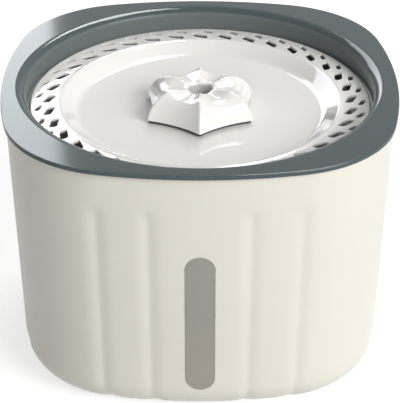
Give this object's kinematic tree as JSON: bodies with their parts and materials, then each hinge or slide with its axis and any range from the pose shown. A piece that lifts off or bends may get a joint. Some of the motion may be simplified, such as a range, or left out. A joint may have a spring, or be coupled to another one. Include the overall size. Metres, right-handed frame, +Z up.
{
  "type": "pet water fountain",
  "caption": "Square-round pet drinking fountain: fluted tank with a level window, rim cover, slotted drinking tray, flower spout, filter cartridge and submersible pump.",
  "frame": {"origin": "under the middle of the object, on the surface it stands on", "axes": "+Z up, -Y towards the level window at the front, +Y towards the cable outlet at the back"},
  "size_m": [0.2, 0.2, 0.141],
  "materials": {
    "tank_shell": "smooth semi-gloss cream plastic",
    "window": "smoky translucent plastic",
    "foot_rubber": "matt rubber",
    "grey_silicone": "satin silicone",
    "rim_shell": "glossy blue-grey plastic",
    "white_gloss": "glossy white plastic",
    "pale_plastic": "satin pale grey plastic",
    "cartridge_plastic": "satin white plastic",
    "cotton": "soft white fleece",
    "resin_beads": "amber beads",
    "carbon": "black granules",
    "pump_plastic": "satin black plastic",
    "core_steel": "stacked sheet steel",
    "coil_copper": "wound enamelled wire",
    "potting_resin": "black cast resin",
    "black_rubber": "matt rubber",
    "shaft_steel": "ground steel",
    "rotor_plastic": "satin white plastic",
    "magnet": "dark ferrite",
    "sponge": "open black foam",
    "dial_plastic": "satin grey plastic",
    "clear_silicone": "milky clear silicone",
    "cup_rubber": "soft dark rubber"
  },
  "bodies": {
    "tank": {"tank": "tank_shell", "level_window": "window", "rubber_feet": "foot_rubber", "cable_grommet": "grey_silicone"},
    "pump": {"pump_housing": "pump_plastic", "potting": "potting_resin", "stator_core": "core_steel", "stator_coil": "coil_copper", "cable_gland": "black_rubber", "riser_tube": "clear_silicone", "suction_cups": "cup_rubber", "impeller_shaft": "shaft_steel", "rear_bush": "black_rubber"},
    "rotor": {"impeller": "rotor_plastic", "rotor_magnet": "magnet"},
    "volute_cover": {"volute_cover": "pump_plastic", "front_bush": "black_rubber"},
    "sponge": {"intake_sponge": "sponge"},
    "cage": {"strainer_cage": "pump_plastic"},
    "dial": {"flow_dial": "dial_plastic"},
    "rim_cover": {"rim_cover": "rim_shell"},
    "basket": {"filter_basket": "pale_plastic"},
    "cartridge": {"cartridge_pan": "cartridge_plastic", "cartridge_lid": "cartridge_plastic", "cotton_layer": "cotton", "resin_bed": "resin_beads", "carbon_bed": "carbon"},
    "tray": {"drinking_tray": "white_gloss"},
    "flower": {"flower_spout": "white_gloss"}
  },
  "joints": [
    {"name": "pump_lift", "type": "slide", "parent": "tank", "child": "pump", "axis": [0, 0, 1], "range_m": [0, 0.15]},
    {"name": "impeller_spin", "type": "hinge", "parent": "pump", "child": "rotor", "pos_m": [0, 0, 0.0368], "axis": [0, 1, 0], "continuous": true},
    {"name": "volute_pull", "type": "slide", "parent": "pump", "child": "volute_cover", "axis": [0, -1, 0], "range_m": [0, 0.012]},
    {"name": "sponge_pull", "type": "slide", "parent": "volute_cover", "child": "sponge", "axis": [0, -1, 0], "range_m": [0, 0.016]},
    {"name": "cage_pull", "type": "slide", "parent": "sponge", "child": "cage", "axis": [0, -1, 0], "range_m": [0, 0.018]},
    {"name": "dial_turn", "type": "hinge", "parent": "cage", "child": "dial", "pos_m": [0, -0.0253, 0.0318], "axis": [0, 1, 0], "range_deg": [0, 30]},
    {"name": "cover_lift", "type": "slide", "parent": "pump", "child": "rim_cover", "axis": [0, 0, 1], "range_m": [0, 0.035]},
    {"name": "basket_lift", "type": "slide", "parent": "rim_cover", "child": "basket", "axis": [0, 0, 1], "range_m": [0, 0.06]},
    {"name": "cartridge_lift", "type": "slide", "parent": "basket", "child": "cartridge", "axis": [0, 0, 1], "range_m": [0, 0.055]},
    {"name": "tray_lift", "type": "slide", "parent": "cartridge", "child": "tray", "axis": [0, 0, 1], "range_m": [0, 0.045]},
    {"name": "flower_lift", "type": "slide", "parent": "tray", "child": "flower", "axis": [0, 0, 1], "range_m": [0, 0.04]}
  ]
}
